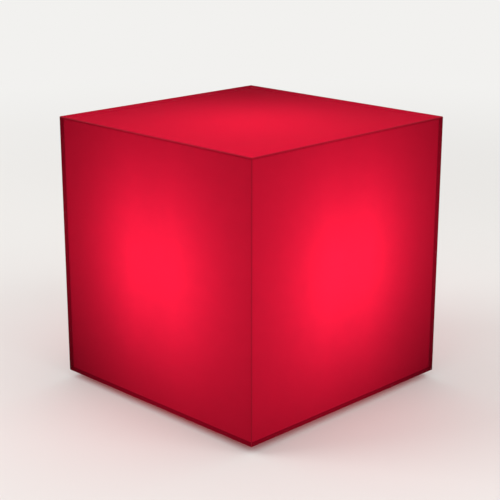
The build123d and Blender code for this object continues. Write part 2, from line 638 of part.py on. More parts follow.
# ---- control board -------------------------------------------------------------------------------
def board_post_places():
    """The four corners of the control board."""
    half_x = BOARD_LENGTH / 2 - BOARD_POST_MARGIN
    half_y = BOARD_WIDTH / 2 - BOARD_POST_MARGIN
    return four_corners(half_x, half_y, BOARD_X, BOARD_Y)


def board_screw_places():
    """The two opposite corners of the control board that are screwed down."""
    corners = board_post_places()
    return [corners[0], corners[-1]]


def control_board():
    """Board over the button, with its screw holes."""
    board = block(BOARD_LENGTH, BOARD_WIDTH, BOARD_BOTTOM, BOARD_TOP, BOARD_X, BOARD_Y)
    for x, y in board_screw_places():
        board -= disc(SCREW_DIAMETER + SCREW_HOLE_PLAY, BOARD_BOTTOM, BOARD_TOP, x, y)
    return board


def board_components():
    """Connectors, chips, coil and capacitor on top of the board, and the status light below it."""
    parts = [
        block(CONNECTOR_LENGTH, CONNECTOR_WIDTH, BOARD_TOP, CONNECTOR_TOP, x, y)
        for x, y in (LIGHT_CONNECTOR, JACK_CONNECTOR, BATTERY_CONNECTOR)
    ]
    parts += [
        block(length, width, BOARD_TOP, BOARD_TOP + height, BOARD_X + shift, BOARD_Y)
        for length, width, height, shift in BOARD_CHIPS
    ]
    capacitor_top = BOARD_TOP + CAPACITOR_HEIGHT
    parts.append(
        disc(CAPACITOR_DIAMETER, BOARD_TOP, capacitor_top, BOARD_X - CAPACITOR_SHIFT, BOARD_Y))
    status_light_bottom = BOARD_BOTTOM - STATUS_LIGHT_HEIGHT
    parts.append(block(
        STATUS_LIGHT_LENGTH, STATUS_LIGHT_WIDTH, status_light_bottom, BOARD_BOTTOM, PIPE_X, BOARD_Y))
    return group(parts)


def status_light_pipe():
    """Clear rod from the status light to the underside of the flange."""
    top = BOARD_BOTTOM - STATUS_LIGHT_HEIGHT - PIPE_TO_LIGHT
    head_top = FLANGE_TOP + PIPE_HEAD_HEIGHT
    rod = disc(PIPE_DIAMETER, FLANGE_BOTTOM, top, PIPE_X, BOARD_Y)
    return rod + disc(PIPE_HEAD_DIAMETER, FLANGE_TOP, head_top, PIPE_X, BOARD_Y)


def electronics():
    """Every sub-part of the control board."""
    one_screw = screw_from_above(BOARD_THICKNESS + BOARD_POST_HEIGHT - SCREW_END_ROOM)
    return {
        "control_board": control_board(),
        "board_components": board_components(),
        "control_board_screws": group(
            Pos(x, y, BOARD_TOP) * one_screw for x, y in board_screw_places()),
        "status_light_pipe": status_light_pipe(),
    }


# ---- power button --------------------------------------------------------------------------------
def power_button():
    """Button: dimpled face, stem, retaining flange inside the floor and a nose for the switch."""
    radius = BUTTON_DIAMETER / 2
    flange = radius + BUTTON_FLANGE_WIDTH
    nose = PLUNGER_DIAMETER / 2 + NOSE_MARGIN
    hollow = radius - BUTTON_RIM
    deep = FLANGE_BOTTOM + BUTTON_DIMPLE_DEPTH
    button = turned([
        (0, deep), (hollow - 2 * BUTTON_DIMPLE_DEPTH, deep), (hollow, FLANGE_BOTTOM),
        (radius - BUTTON_CHAMFER, FLANGE_BOTTOM), (radius, FLANGE_BOTTOM + BUTTON_CHAMFER),
        (radius, BUTTON_FLANGE_BOTTOM), (flange, BUTTON_FLANGE_BOTTOM),
        (flange, BUTTON_FLANGE_TOP), (nose, BUTTON_FLANGE_TOP), (nose, PLUNGER_BOTTOM),
        (0, PLUNGER_BOTTOM),
    ])
    return Pos(BUTTON_X, BUTTON_Y, 0) * button


def power_switch():
    """Every sub-part of the power button and its switch."""
    plunger_top = SWITCH_BOTTOM + PLUNGER_IN_SWITCH
    bore_top = plunger_top + BUTTON_TRAVEL + PLUNGER_PLAY
    body = block(SWITCH_SIZE, SWITCH_SIZE, SWITCH_BOTTOM, BOARD_BOTTOM, BUTTON_X, BUTTON_Y)
    bore = disc(PLUNGER_DIAMETER + 2 * PLUNGER_PLAY, SWITCH_BOTTOM, bore_top, BUTTON_X, BUTTON_Y)
    seal_inner = BUTTON_DIAMETER + 2 * SEAL_PLAY
    seal_outer = seal_inner + 2 * SEAL_SECTION
    half = SEAL_SECTION / 2
    seal = ring(seal_outer, seal_inner, SEAL_LEVEL - half, SEAL_LEVEL + half, BUTTON_X, BUTTON_Y)
    return {
        "power_button": power_button(),
        "switch_plunger": disc(PLUNGER_DIAMETER, PLUNGER_BOTTOM, plunger_top, BUTTON_X, BUTTON_Y),
        "switch_body": body - bore,
        "button_seal": seal,
    }


# ---- charging socket -----------------------------------------------------------------------------
def charging_jack():
    """Round socket: lip, threaded barrel, mouth with its centre pin, and two solder tags."""
    jack = disc(JACK_LIP_DIAMETER, JACK_BOTTOM, JACK_SEAT, JACK_X, JACK_Y)
    jack += disc(JACK_THREAD_DIAMETER, JACK_SEAT, JACK_TOP, JACK_X, JACK_Y)
    mouth_top = JACK_BOTTOM + JACK_MOUTH_DEPTH
    jack -= disc(JACK_MOUTH_DIAMETER, JACK_BOTTOM, mouth_top, JACK_X, JACK_Y)
    jack += disc(JACK_PIN_DIAMETER, JACK_BOTTOM + JACK_PIN_SETBACK, mouth_top, JACK_X, JACK_Y)
    for side in (-1, 1):
        tag_x = JACK_X + side * JACK_THREAD_DIAMETER / 4
        tag_top = JACK_TOP + JACK_TAG_LENGTH
        jack += block(JACK_TAG_THICKNESS, JACK_TAG_WIDTH, JACK_TOP, tag_top, tag_x, JACK_Y)
    return jack


def jack_cap():
    """Soft cap: a disc with a hollow spigot for the socket's mouth, and its strap to the fold."""
    cap = disc(2 * CAP_RADIUS, CAP_BOTTOM, CAP_TOP, JACK_X, JACK_Y)
    strap_start = HINGE_Y + CAP_HINGE_GAP / 2
    strap_top = CAP_BOTTOM + CAP_STRAP_THICKNESS
    reach = JACK_Y - strap_start
    cap += block(CAP_STRAP_WIDTH, reach, CAP_BOTTOM, strap_top, JACK_X, JACK_Y - reach / 2)
    outer = JACK_MOUTH_DIAMETER / 2 - SPIGOT_PLAY
    inner = outer - SPIGOT_WALL
    end = CAP_TO_LIP + SPIGOT_LENGTH
    spigot = turned([
        (inner, 0), (outer, 0), (outer, CAP_TO_LIP), (outer - SPIGOT_TAPER, end), (inner, end),
    ])
    return cap + Pos(JACK_X, JACK_Y, CAP_TOP) * spigot


def cap_anchor():
    """End of the cap's strap, held by a rivet-shaped plug through the flange."""
    strap_top = CAP_BOTTOM + CAP_STRAP_THICKNESS
    head_top = FLANGE_TOP + CAP_RIVET_HEAD_HEIGHT
    anchor = block(CAP_STRAP_WIDTH, CAP_ANCHOR_LENGTH, CAP_BOTTOM, strap_top, JACK_X, RIVET_Y)
    anchor += disc(CAP_RIVET_DIAMETER, strap_top, FLANGE_TOP, JACK_X, RIVET_Y)
    return anchor + disc(CAP_RIVET_HEAD_DIAMETER, FLANGE_TOP, head_top, JACK_X, RIVET_Y)


def charging_port():
    """Every sub-part of the charging socket."""
    thread = JACK_THREAD_DIAMETER
    return {
        "charging_jack": charging_jack(),
        "jack_nut": nut(JACK_NUT_WIDTH, JACK_NUT_HEIGHT, thread, JACK_PAD_TOP, JACK_X, JACK_Y),
        "jack_cap": jack_cap(),
        "cap_anchor": cap_anchor(),
    }


# ---- leads ---------------------------------------------------------------------------------------
def arch_lead(start, end, start_level, end_level, width):
    """Flat lead that stands up from one place and comes down on another, in one upright plane."""
    span = hypot(end[0] - start[0], end[1] - start[1])
    heading = degrees(atan2(end[1] - start[1], end[0] - start[0]))
    crest = max(start_level, end_level) + LEAD_CLIMB
    bend = min(span / 2, LEAD_CLIMB) * LEAD_BEND_SHARE
    path = FilletPolyline((0, 0, start_level), (0, 0, crest), (span, 0, crest), (span, 0, end_level),
                          radius=bend)
    section = Pos(0, 0, start_level) * Rectangle(LEAD_THICKNESS, width)
    return Pos(start[0], start[1], 0) * Rot(0, 0, heading) * sweep(section, path)


def light_leads():
    """Flat lead from the control board to the centre of the light board, through the grommet."""
    x, y = LIGHT_CONNECTOR
    span = hypot(x, y)
    heading = degrees(atan2(-y, -x))
    turn_level = (CONNECTOR_TOP + CUP_TOP) / 2
    rise = min(span / 2, turn_level - CONNECTOR_TOP) * LEAD_BEND_SHARE
    over_board = LED_BOARD_TOP + LEAD_TO_BOARD + LEAD_THICKNESS / 2
    path = FilletPolyline(
        (0, 0, CONNECTOR_TOP), (0, 0, turn_level), (span, 0, turn_level), (span, 0, over_board),
        (span + CABLE_HOLE_DIAMETER, 0, over_board),
        radius=[rise, rise, LEAD_TAIL_BEND],
    )
    section = Pos(0, 0, CONNECTOR_TOP) * Rectangle(LEAD_THICKNESS, LIGHT_LEAD_WIDTH)
    return Pos(x, y, 0) * Rot(0, 0, heading) * sweep(section, path)


def leads():
    """Every lead inside the module."""
    tag_top = JACK_TOP + JACK_TAG_LENGTH
    width = TWIN_LEAD_WIDTH
    return {
        "jack_leads": arch_lead((JACK_X, JACK_Y), JACK_CONNECTOR, tag_top, CONNECTOR_TOP, width),
        "battery_leads": arch_lead(
            BATTERY_TAB, BATTERY_CONNECTOR, HOLDER_END_TOP, CONNECTOR_TOP, width),
        "light_leads": light_leads(),
    }


# ---- whole object --------------------------------------------------------------------------------
def cube_light():
    """Every sub-part by name."""
    parts = {
        "top_panel": panel_facing((0, 0, 1), (1, 0, 0)),
        "front_panel": panel_facing((0, -1, 0), (1, 0, 0)),
        "back_panel": panel_facing((0, 1, 0), (1, 0, 0)),
        "left_panel": panel_facing((-1, 0, 0), (0, 1, 0)),
        "right_panel": panel_facing((1, 0, 0), (0, 1, 0)),
        "base_panel": base_panel(),
        "rubber_feet": rubber_feet(),
        "module_housing": module_housing(),
    }
    for sub_assembly in (fixing_of_the_module, light_engine, batteries, electronics,
                         power_switch, charging_port, leads):
        parts.update(sub_assembly())
    return parts


os.makedirs("parts", exist_ok=True)
for name, shape in cube_light().items():
    export_step(shape, f"parts/{name}.step")
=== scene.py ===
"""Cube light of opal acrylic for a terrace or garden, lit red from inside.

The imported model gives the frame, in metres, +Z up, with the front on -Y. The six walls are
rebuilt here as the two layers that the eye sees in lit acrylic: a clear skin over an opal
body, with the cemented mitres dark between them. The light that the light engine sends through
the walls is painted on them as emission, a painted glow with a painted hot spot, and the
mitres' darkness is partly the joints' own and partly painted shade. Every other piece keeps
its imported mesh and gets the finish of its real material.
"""

import logging
from abc import ABC, abstractmethod
from collections.abc import Mapping
from dataclasses import dataclass, replace
from enum import Enum
from math import radians, sqrt

import bmesh
import bpy
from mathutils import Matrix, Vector

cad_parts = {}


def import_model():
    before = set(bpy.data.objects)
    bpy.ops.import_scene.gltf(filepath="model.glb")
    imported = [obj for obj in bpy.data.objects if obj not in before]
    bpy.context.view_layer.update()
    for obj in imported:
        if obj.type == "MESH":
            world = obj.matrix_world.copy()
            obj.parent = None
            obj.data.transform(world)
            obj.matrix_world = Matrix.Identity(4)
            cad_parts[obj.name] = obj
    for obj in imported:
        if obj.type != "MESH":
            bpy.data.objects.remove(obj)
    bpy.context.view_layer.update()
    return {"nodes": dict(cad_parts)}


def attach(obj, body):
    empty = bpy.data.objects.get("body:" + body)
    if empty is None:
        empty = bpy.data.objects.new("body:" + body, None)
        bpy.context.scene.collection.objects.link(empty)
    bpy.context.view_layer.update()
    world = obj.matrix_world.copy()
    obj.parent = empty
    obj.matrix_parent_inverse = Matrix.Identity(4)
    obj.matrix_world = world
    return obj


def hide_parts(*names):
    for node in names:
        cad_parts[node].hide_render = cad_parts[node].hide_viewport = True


LOG = logging.getLogger("cube_light")
MM = 0.001
CUBE_SIDE = 300 * MM
CUBE_MIDDLE = 158 * MM      # height of the cube's centre over the ground
ACRYLIC_IOR = 1.49

# Most of a noise texture's values lie in this span, which is stretched to a finish's own limits.
NOISE_SPAN = {"From Min": 0.3, "From Max": 0.7}

# A mitre's normal and its walls' normals make dot products of 0.71, and those of square faces
# are 0 or 1, so this tells the three apart.
SLANTED = 0.6
LEVEL = 0.9                 # past it, a face lies level with its wall
OUTWARD = 0.1               # past it, a face that isn't level still looks outwards

Colour = tuple[float, float, float, float]
Point = tuple[float, float, float]


def linear(hex_colour: str) -> Colour:
    """Turn an sRGB hex colour into linear RGBA, by the standard's own curve.

    Args:
        hex_colour: six hex digits, with or without a leading hash.

    Returns:
        Red, green, blue and an alpha of 1, linear.
    """
    digits = hex_colour.lstrip("#")
    channels = [int(digits[i:i + 2], 16) / 255 for i in (0, 2, 4)]
    curved = [c / 12.92 if c <= 0.04045 else ((c + 0.055) / 1.055) ** 2.4 for c in channels]
    return (curved[0], curved[1], curved[2], 1.0)


def fill(
    tree: bpy.types.NodeTree, node: bpy.types.Node, inputs: Mapping[str | int, object],
) -> None:
    """Link or set a node's inputs.

    Args:
        tree: the node tree that holds the node.
        node: the node.
        inputs: for each input, by name or number, a socket to link or a value to set.
    """
    for key, value in inputs.items():
        if isinstance(value, bpy.types.NodeSocket):
            tree.links.new(value, node.inputs[key])
        else:
            node.inputs[key].default_value = value


def add_node(
    tree: bpy.types.NodeTree,
    kind: str,
    settings: Mapping[str, object] | None = None,
    inputs: Mapping[str | int, object] | None = None,
) -> bpy.types.Node:
    """Add a node, set its properties, and link or fill its inputs.

    Args:
        tree: the node tree that gets the node.
        kind: the node's type name.
        settings: properties of the node by name.
        inputs: for each input, by name or number, a socket to link or a value to set.

    Returns:
        The new node.
    """
    node = tree.nodes.new(kind)
    for name, value in (settings or {}).items():
        setattr(node, name, value)
    fill(tree, node, inputs or {})
    return node


def picture_rays(tree: bpy.types.NodeTree) -> bpy.types.NodeSocket:
    """Add the nodes that tell the picture's own rays from those that carry light.

    Args:
        tree: the node tree that gets them.

    Returns:
        A socket of 1 for rays from the camera, off gloss or through glass, and of 0 for others.
    """
    rays = add_node(tree, "ShaderNodeLightPath").outputs
    seen = rays["Is Camera Ray"]
    for name in ("Is Transmission Ray", "Is Glossy Ray"):
        seen = add_node(
            tree, "ShaderNodeMath", {"operation": "MAXIMUM"}, {0: seen, 1: rays[name]}).outputs[0]
    return seen


# ---- finishes --------------------------------------------------------------------------------


@dataclass(frozen=True)
class Finish(ABC):
    """A material and the process that made its surface."""

    name: str

    @abstractmethod
    def shade(self, tree: bpy.types.NodeTree, shader: bpy.types.Node) -> None:
        """Set and link what makes this finish.

        Args:
            tree: the material's node tree.
            shader: its Principled node.
        """

    def material(self) -> bpy.types.Material:
        """Build the finish as a Blender material, once.

        Returns:
            The material, which may be one that is built already.
        """
        made = bpy.data.materials.get(self.name)
        if made:
            return made
        made = bpy.data.materials.new(self.name)
        made.use_nodes = True
        shader = made.node_tree.nodes["Principled BSDF"]
        self.shade(made.node_tree, shader)
        return made


@dataclass(frozen=True)
class Glow:
    """How brightly a wall's painted glow shines: a soft core over a ground that tilts and droops.

    The glow is painted light, which stands in for the light engine's light through the
    acrylic: the core is a painted hot spot, and the tilts and droops paint lighter and darker
    parts, darker towards the corners. Lengths are in cube sides from the cube's centre. Levels
    are linear, 1 being a full red, and hold for all the light that the wall sends out, its own
    and the studio's.
    """

    # The core is a painted hot spot; the tilts and droops are painted light and shade.
    core_level: float = 0.0
    core_reach: float = 1.0             # how fast the core falls off across the wall
    core_rise: float = 1.0              # how fast it falls off up and down
    core_height: float = 0.0
    ground: float = 0.2
    tilt_across: float = 0.0
    tilt_up: float = 0.0
    droop_across: float = 0.0
    droop_up: float = 0.0
    face_offset: float = 0.0            # distance from the upright axis where the fall starts
    mirrored: bool = False              # the walls behind repeat the ones in front
    gain: float = 1.0
    side: float = CUBE_SIDE
    middle_height: float = CUBE_MIDDLE

    def level(self, tree: bpy.types.NodeTree, place: bpy.types.NodeSocket) -> bpy.types.NodeSocket:
        """Add the nodes that work out the level.

        Args:
            tree: the material's node tree.
            place: the socket that gives the place on the wall, in metres.

        Returns:
            The socket that gives the level.
        """
        scaled = add_node(tree, "ShaderNodeMapping", {"vector_type": "POINT"}, {
            "Vector": place,
            "Location": (0.0, 0.0, -self.middle_height / self.side),
            "Scale": (1 / self.side,) * 3,
        }).outputs[0]
        axes = add_node(tree, "ShaderNodeSeparateXYZ", inputs={0: scaled}).outputs
        across = add_node(
            tree, "ShaderNodeMath", {"operation": "SUBTRACT"}, {0: axes[0], 1: axes[1]}).outputs[0]
        if self.mirrored:
            across = add_node(
                tree, "ShaderNodeMath", {"operation": "ABSOLUTE"}, {0: across}).outputs[0]
        flat = add_node(
            tree, "ShaderNodeVectorMath", {"operation": "MULTIPLY"},
            {0: scaled, 1: (1.0, 1.0, 0.0)}).outputs[0]
        from_axis = add_node(
            tree, "ShaderNodeVectorMath", {"operation": "DOT_PRODUCT"},
            {0: flat, 1: flat}).outputs["Value"]
        along = add_node(
            tree, "ShaderNodeMath", {"operation": "SUBTRACT"},
            {0: from_axis, 1: self.face_offset ** 2}).outputs[0]
        along = add_node(
            tree, "ShaderNodeMath", {"operation": "MAXIMUM"}, {0: along, 1: 0.0}).outputs[0]
        rise = add_node(
            tree, "ShaderNodeMath", {"operation": "SUBTRACT"},
            {0: axes[2], 1: self.core_height}).outputs[0]
        rise = add_node(
            tree, "ShaderNodeMath", {"operation": "MULTIPLY"}, {0: rise, 1: rise}).outputs[0]
        fall = add_node(
            tree, "ShaderNodeMath", {"operation": "MULTIPLY"},
            {0: rise, 1: -1 / self.core_rise ** 2}).outputs[0]
        fall = add_node(
            tree, "ShaderNodeMath", {"operation": "MULTIPLY_ADD"},
            {0: along, 1: -1 / self.core_reach ** 2, 2: fall}).outputs[0]
        core = add_node(tree, "ShaderNodeMath", {"operation": "EXPONENT"}, {0: fall}).outputs[0]
        up_squared = add_node(
            tree, "ShaderNodeMath", {"operation": "MULTIPLY"}, {0: axes[2], 1: axes[2]}).outputs[0]
        level: bpy.types.NodeSocket | float = self.ground * self.gain
        for term, amount in (
            (core, self.core_level), (across, self.tilt_across), (axes[2], self.tilt_up),
            (along, self.droop_across), (up_squared, self.droop_up),
        ):
            level = add_node(
                tree, "ShaderNodeMath", {"operation": "MULTIPLY_ADD"},
                {0: term, 1: amount * self.gain, 2: level}).outputs[0]
        return level


@dataclass(frozen=True)
class LitAcrylic(Finish):
    """Cast acrylic that is lit from behind, the light painted on as emission, so that it shines by
    itself.

    The eye takes its brightness from the wall's painted glow, and sees the traces of its making
    only as a faint unevenness in that light.
    """

    glow: Glow
    tint: str = "#FF1C40"
    body_colour: str = "#5A0411"
    peak: float = 1.3                   # the emission's strength, over a level kept below 1
    spared: float = 0.0                 # part of the level that the studio's light gives

    def shine(
        self, tree: bpy.types.NodeTree, shader: bpy.types.Node,
        level: bpy.types.NodeSocket, traces: bpy.types.NodeSocket, depth: float,
    ) -> None:
        """Paint the light of a level onto the shader as emission, made faintly uneven.

        Args:
            tree: the material's node tree.
            shader: its Principled node.
            level: the socket that gives the level.
            traces: the socket of the noise that makes it uneven.
            depth: how much the noise raises and lowers the level, as a share of it.
        """
        uneven = add_node(tree, "ShaderNodeMapRange", inputs={
            "Value": traces, **NOISE_SPAN,
            "To Min": (1 - depth) / self.peak, "To Max": (1 + depth) / self.peak}).outputs[0]
        own = add_node(
            tree, "ShaderNodeMath", {"operation": "MULTIPLY", "use_clamp": True},
            {0: level, 1: uneven}).outputs[0]
        tinted = add_node(
            tree, "ShaderNodeVectorMath", {"operation": "SCALE"},
            {0: linear(self.tint)[:3], "Scale": own}).outputs[0]
        fill(tree, shader, {
            "Base Color": linear(self.body_colour), "IOR": ACRYLIC_IOR,
            "Emission Color": tinted, "Emission Strength": self.peak})


@dataclass(frozen=True)
class LitOpalAcrylic(LitAcrylic):
    """Cast opal acrylic with lamps behind it, whose light is painted on it.

    The eye sees no lamp, only a soft painted hot spot where the light engine stands nearest,
    which fades evenly into a painted deeper red, with the faint cloudiness of cast sheet.
    """

    cloud_size: float = 15 * MM
    cloud_depth: float = 0.04

    def shade(self, tree: bpy.types.NodeTree, shader: bpy.types.Node) -> None:
        """Paint the wall's glow from the place on it, with faint clouds.

        Args:
            tree: the material's node tree.
            shader: its Principled node.
        """
        place = add_node(tree, "ShaderNodeTexCoord").outputs["Object"]
        own = add_node(
            tree, "ShaderNodeMath", {"operation": "SUBTRACT"},
            {0: self.glow.level(tree, place), 1: self.spared}).outputs[0]
        clouds = add_node(
            tree, "ShaderNodeTexNoise",
            inputs={"Vector": place, "Scale": 1 / self.cloud_size, "Detail": 3.0,
                    "Roughness": 0.8}).outputs[0]
        self.shine(tree, shader, own, clouds, self.cloud_depth)
        # Under a skin of the same acrylic there is no reflecting surface.
        fill(tree, shader, {"Roughness": 0.6, "Specular IOR Level": 0.0})


@dataclass(frozen=True)
class CutAcrylicEdge(LitAcrylic):
    """An acrylic edge, sawn, polished and cemented to its neighbour, or rubbed to an arris.

    Its light is painted too: a share of the wall's painted glow, so it shows as a darker red
    line, partly the joint's own darkness and partly painted shade, with the faint marks of the
    saw. Real marks are about 0.1 mm apart and are drawn coarser so that they show.
    """

    # share of the wall's painted glow that the edge shows as its own painted light
    share: float = 0.5
    gloss: float = 0.0
    saw_pitch: float = 0.9 * MM
    saw_depth: float = 0.06

    def shade(self, tree: bpy.types.NodeTree, shader: bpy.types.Node) -> None:
        """Paint a share of the wall's glow, with faint saw marks.

        Args:
            tree: the material's node tree.
            shader: its Principled node.
        """
        place = add_node(tree, "ShaderNodeTexCoord").outputs["Object"]
        own = add_node(
            tree, "ShaderNodeMath", {"operation": "MULTIPLY_ADD"},
            {0: self.glow.level(tree, place), 1: self.share, 2: -self.spared}).outputs[0]
        marks = add_node(
            tree, "ShaderNodeTexNoise",
            inputs={"Vector": place, "Scale": 1 / self.saw_pitch, "Detail": 2.0}).outputs[0]
        self.shine(tree, shader, own, marks, self.saw_depth)
        fill(tree, shader, {"Roughness": 0.45, "Specular IOR Level": self.gloss})


@dataclass(frozen=True)
class ClearAcrylicSkin(Finish):
    """The clear outer depth of the cast sheet, rubbed to a satin sheen.

    It shows what lies behind it, takes the sharpness off reflections, and dulls them a
    little more where hands and cloths have gone over it.
    """

    colour: str = "#7A1226"
    opacity: float = 0.012
    satin: float = 0.24                 # roughness where it is least rubbed
    dulled: float = 0.36                # and where it is most rubbed
    rub_size: float = 40 * MM

    def shade(self, tree: bpy.types.NodeTree, shader: bpy.types.Node) -> None:
        """Set a low plain alpha and a roughness that wanders.

        Args:
            tree: the material's node tree.
            shader: its Principled node.
        """
        place = add_node(tree, "ShaderNodeTexCoord").outputs["Object"]
        rubbed = add_node(
            tree, "ShaderNodeTexNoise",
            inputs={"Vector": place, "Scale": 1 / self.rub_size, "Detail": 4.0}).outputs[0]
        rough = add_node(tree, "ShaderNodeMapRange", inputs={
            "Value": rubbed, **NOISE_SPAN, "To Min": self.satin, "To Max": self.dulled,
        }).outputs[0]
        fill(tree, shader, {
            "Base Color": linear(self.colour), "IOR": ACRYLIC_IOR, "Alpha": self.opacity,
            "Roughness": rough})


@dataclass(frozen=True)
class MouldedPlastic(Finish):
    """Injection-moulded plastic from a spark-eroded tool.

    A fine, even grain breaks up the gloss and speckles the colour, with slightly shinier
    worn patches. The real grain is near 0.3 mm and is drawn coarser so that it shows.
    """

    colour: str = "#141415"
    worn_colour: str = "#1D1D1F"
    roughness: float = 0.5
    grain: float = 1.1 * MM
    grain_height: float = 0.05 * MM
    wear_size: float = 22 * MM
    grain_speckle: float = 0.9          # how much the grain turns the colour to the worn one
    wear_speckle: float = 0.45          # and how much the wear does
    speckle_start: float = -0.15        # and what is taken off the two first
    dull_by: float = 0.06               # roughness added where it is least worn
    shine_by: float = 0.08              # and taken off where it is most worn

    def shade(self, tree: bpy.types.NodeTree, shader: bpy.types.Node) -> None:
        """Grain as a bump, wear as a change of colour and roughness.

        Args:
            tree: the material's node tree.
            shader: its Principled node.
        """
        place = add_node(tree, "ShaderNodeTexCoord").outputs["Object"]
        grain = add_node(
            tree, "ShaderNodeTexNoise",
            inputs={"Vector": place, "Scale": 1 / self.grain, "Detail": 2.0}).outputs[0]
        wear = add_node(
            tree, "ShaderNodeTexNoise",
            inputs={"Vector": place, "Scale": 1 / self.wear_size, "Detail": 5.0}).outputs[0]
        speckled = add_node(
            tree, "ShaderNodeMath", {"operation": "MULTIPLY_ADD"},
            {0: wear, 1: self.wear_speckle, 2: self.speckle_start}).outputs[0]
        speckled = add_node(
            tree, "ShaderNodeMath", {"operation": "MULTIPLY_ADD", "use_clamp": True},
            {0: grain, 1: self.grain_speckle, 2: speckled}).outputs[0]
        colour = add_node(tree, "ShaderNodeMix", {"data_type": "RGBA"}, {
            0: speckled, 6: linear(self.colour), 7: linear(self.worn_colour)}).outputs[2]
        rough = add_node(tree, "ShaderNodeMapRange", inputs={
            "Value": wear, **NOISE_SPAN, "To Min": self.roughness + self.dull_by,
            "To Max": self.roughness - self.shine_by}).outputs[0]
        bump = add_node(tree, "ShaderNodeBump", inputs={
            "Strength": 0.6, "Distance": self.grain_height, "Height": grain}).outputs[0]
        fill(tree, shader, {
            "IOR": 1.54, "Base Color": colour, "Roughness": rough, "Normal": bump})


@dataclass(frozen=True)
class MouldedRubber(Finish):
    """Moulded rubber or silicone.

    Dull and dark, with pale dust in its pores and a soft sheen where it is handled. Real
    pores are under 0.1 mm and are drawn coarser so that they show.
    """

    colour: str = "#0E0E0F"
    dust_colour: str = "#2B2A28"
    roughness: float = 0.78
    uneven_by: float = 0.08             # how far the roughness goes up and down
    pore: float = 0.6 * MM
    pore_depth: float = 0.03 * MM
    dust_size: float = 3 * MM
    dust_from: float = 0.5              # the noise's level where dust starts
    dust_full: float = 0.75             # and where it lies thickest
    dust_cover: float = 0.6             # how much of the colour it hides there

    def shade(self, tree: bpy.types.NodeTree, shader: bpy.types.Node) -> None:
        """Dust as a colour, pores as a bump.

        Args:
            tree: the material's node tree.
            shader: its Principled node.
        """
        place = add_node(tree, "ShaderNodeTexCoord").outputs["Object"]
        pores = add_node(
            tree, "ShaderNodeTexVoronoi",
            inputs={"Vector": place, "Scale": 1 / self.pore}).outputs["Distance"]
        dust = add_node(
            tree, "ShaderNodeTexNoise",
            inputs={"Vector": place, "Scale": 1 / self.dust_size, "Detail": 6.0,
                    "Roughness": 0.7}).outputs[0]
        dusty = add_node(tree, "ShaderNodeMapRange", inputs={
            "Value": dust, "From Min": self.dust_from, "From Max": self.dust_full,
            "To Max": self.dust_cover}).outputs[0]
        colour = add_node(tree, "ShaderNodeMix", {"data_type": "RGBA"}, {
            0: dusty, 6: linear(self.colour), 7: linear(self.dust_colour)}).outputs[2]
        rough = add_node(tree, "ShaderNodeMapRange", inputs={
            "Value": dust, "To Min": self.roughness - self.uneven_by,
            "To Max": self.roughness + self.uneven_by}).outputs[0]
        bump = add_node(tree, "ShaderNodeBump", inputs={
            "Strength": 0.4, "Distance": self.pore_depth, "Height": pores}).outputs[0]
        fill(tree, shader, {
            "IOR": 1.5, "Specular IOR Level": 0.3, "Base Color": colour, "Roughness": rough,
            "Normal": bump})


class Working(Enum):
    """How a metal's surface was made, and how many times finer its marks are on X, Y and Z."""

    ROLLED = (1.0, 14.0, 14.0)
    TURNED = (1.0, 1.0, 9.0)
    PLATED = (1.0, 1.0, 1.0)


@dataclass(frozen=True)
class WorkedMetal(Finish):
    """Metal, rolled, turned or plated.

    Its fine marks stretch the reflections one way, and fingerprints and oxide dull it in
    soft patches. Real marks are under 0.1 mm wide and are drawn coarser so that they show.
    """

    colour: str = "#B9B9BC"
    dull_colour: str = "#9A9A9E"
    roughness: float = 0.3
    shine_by: float = 0.06              # roughness taken off where it is brightest
    dull_by: float = 0.1                # and added where it is dullest
    working: Working = Working.PLATED
    mark: float = 2.8 * MM              # a mark's length, which the working makes narrower
    mark_depth: float = 0.01 * MM
    patch: float = 12 * MM
    patch_from: float = 0.4             # the noise's level where a patch starts
    patch_full: float = 0.65            # and where it is full

    def shade(self, tree: bpy.types.NodeTree, shader: bpy.types.Node) -> None:
        """Stretched marks as a bump, patches as colour and roughness.

        Args:
            tree: the material's node tree.
            shader: its Principled node.
        """
        place = add_node(tree, "ShaderNodeTexCoord").outputs["Object"]
        stretched = add_node(tree, "ShaderNodeMapping", {"vector_type": "POINT"}, {
            "Vector": place, "Scale": self.working.value}).outputs[0]
        marks = add_node(
            tree, "ShaderNodeTexNoise",
            inputs={"Vector": stretched, "Scale": 1 / self.mark, "Detail": 3.0}).outputs[0]
        patches = add_node(
            tree, "ShaderNodeTexNoise",
            inputs={"Vector": place, "Scale": 1 / self.patch, "Detail": 4.0}).outputs[0]
        dull = add_node(tree, "ShaderNodeMapRange", inputs={
            "Value": patches, "From Min": self.patch_from,
            "From Max": self.patch_full}).outputs[0]
        colour = add_node(tree, "ShaderNodeMix", {"data_type": "RGBA"}, {
            0: dull, 6: linear(self.colour), 7: linear(self.dull_colour)}).outputs[2]
        rough = add_node(tree, "ShaderNodeMapRange", inputs={
            "Value": patches, **NOISE_SPAN, "To Min": self.roughness - self.shine_by,
            "To Max": self.roughness + self.dull_by}).outputs[0]
        bump = add_node(tree, "ShaderNodeBump", inputs={
            "Strength": 0.3, "Distance": self.mark_depth, "Height": marks}).outputs[0]
        fill(tree, shader, {
            "Metallic": 1.0, "Base Color": colour, "Roughness": rough, "Normal": bump})


